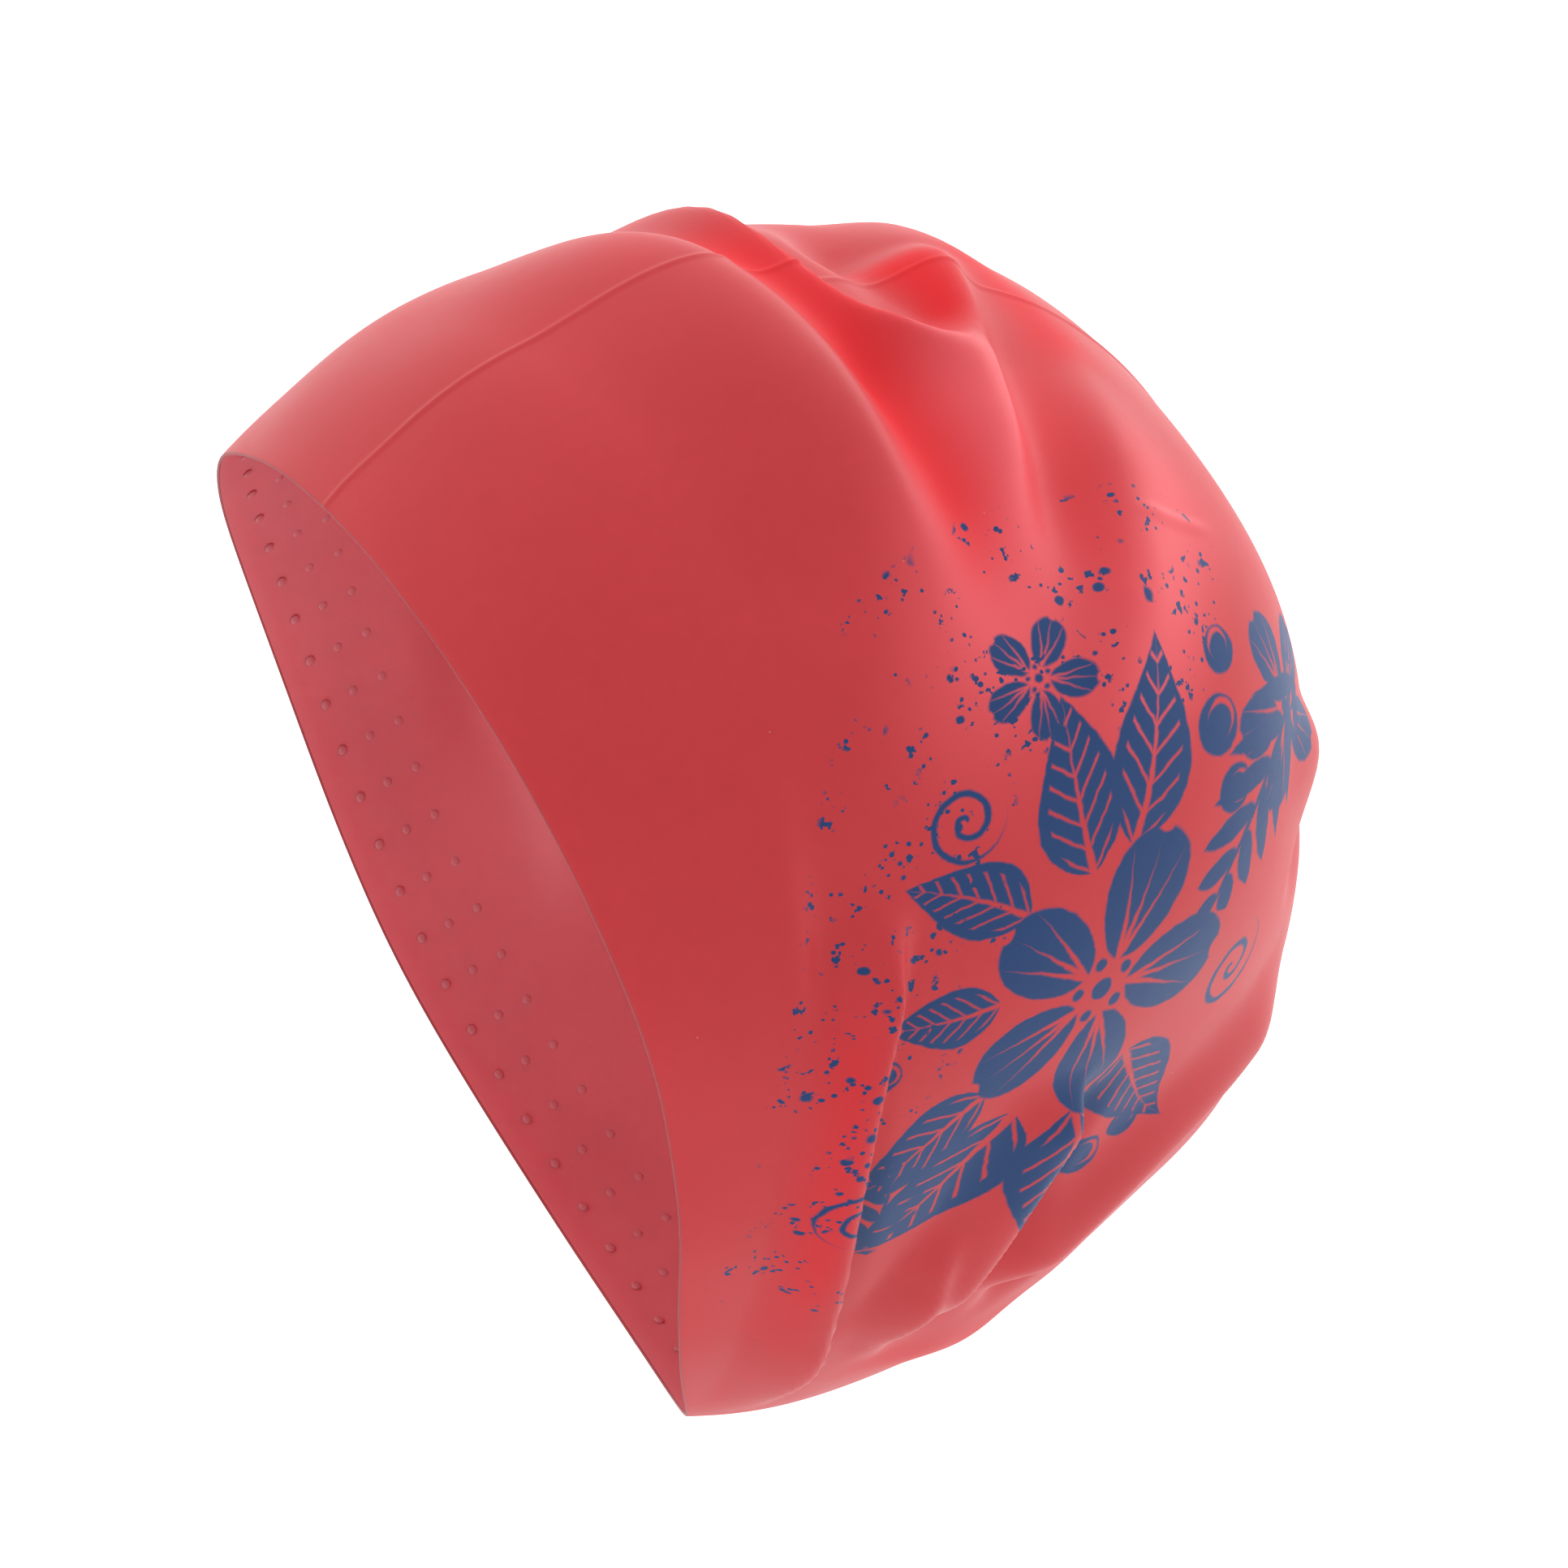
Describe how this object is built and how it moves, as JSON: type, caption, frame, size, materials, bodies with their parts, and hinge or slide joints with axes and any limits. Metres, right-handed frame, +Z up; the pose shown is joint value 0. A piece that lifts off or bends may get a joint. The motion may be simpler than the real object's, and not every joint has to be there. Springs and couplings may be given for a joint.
{
  "type": "swim cap",
  "caption": "Moulded silicone swim cap: a thin hollow dome, open at its leaning rim, with soft crown and nape folds and a floral print on one side.",
  "frame": {"origin": "middle of the rim loop, where the head enters", "axes": "+Z up as worn on an upright head, -Y the way the face looks, +X the wearer's left; the rim plane leans back by 25 degrees, so that the brow is higher than the nape"},
  "size_m": [0.1797, 0.2122, 0.1751],
  "materials": {
    "silicone": "matt red moulded silicone with a fine powdery sheen, a thin raised mould line from brow to nape and a screen-printed blue floral design on the wearer's left side"
  },
  "bodies": {
    "root": {"cap_shell": "silicone"}
  },
  "joints": []
}
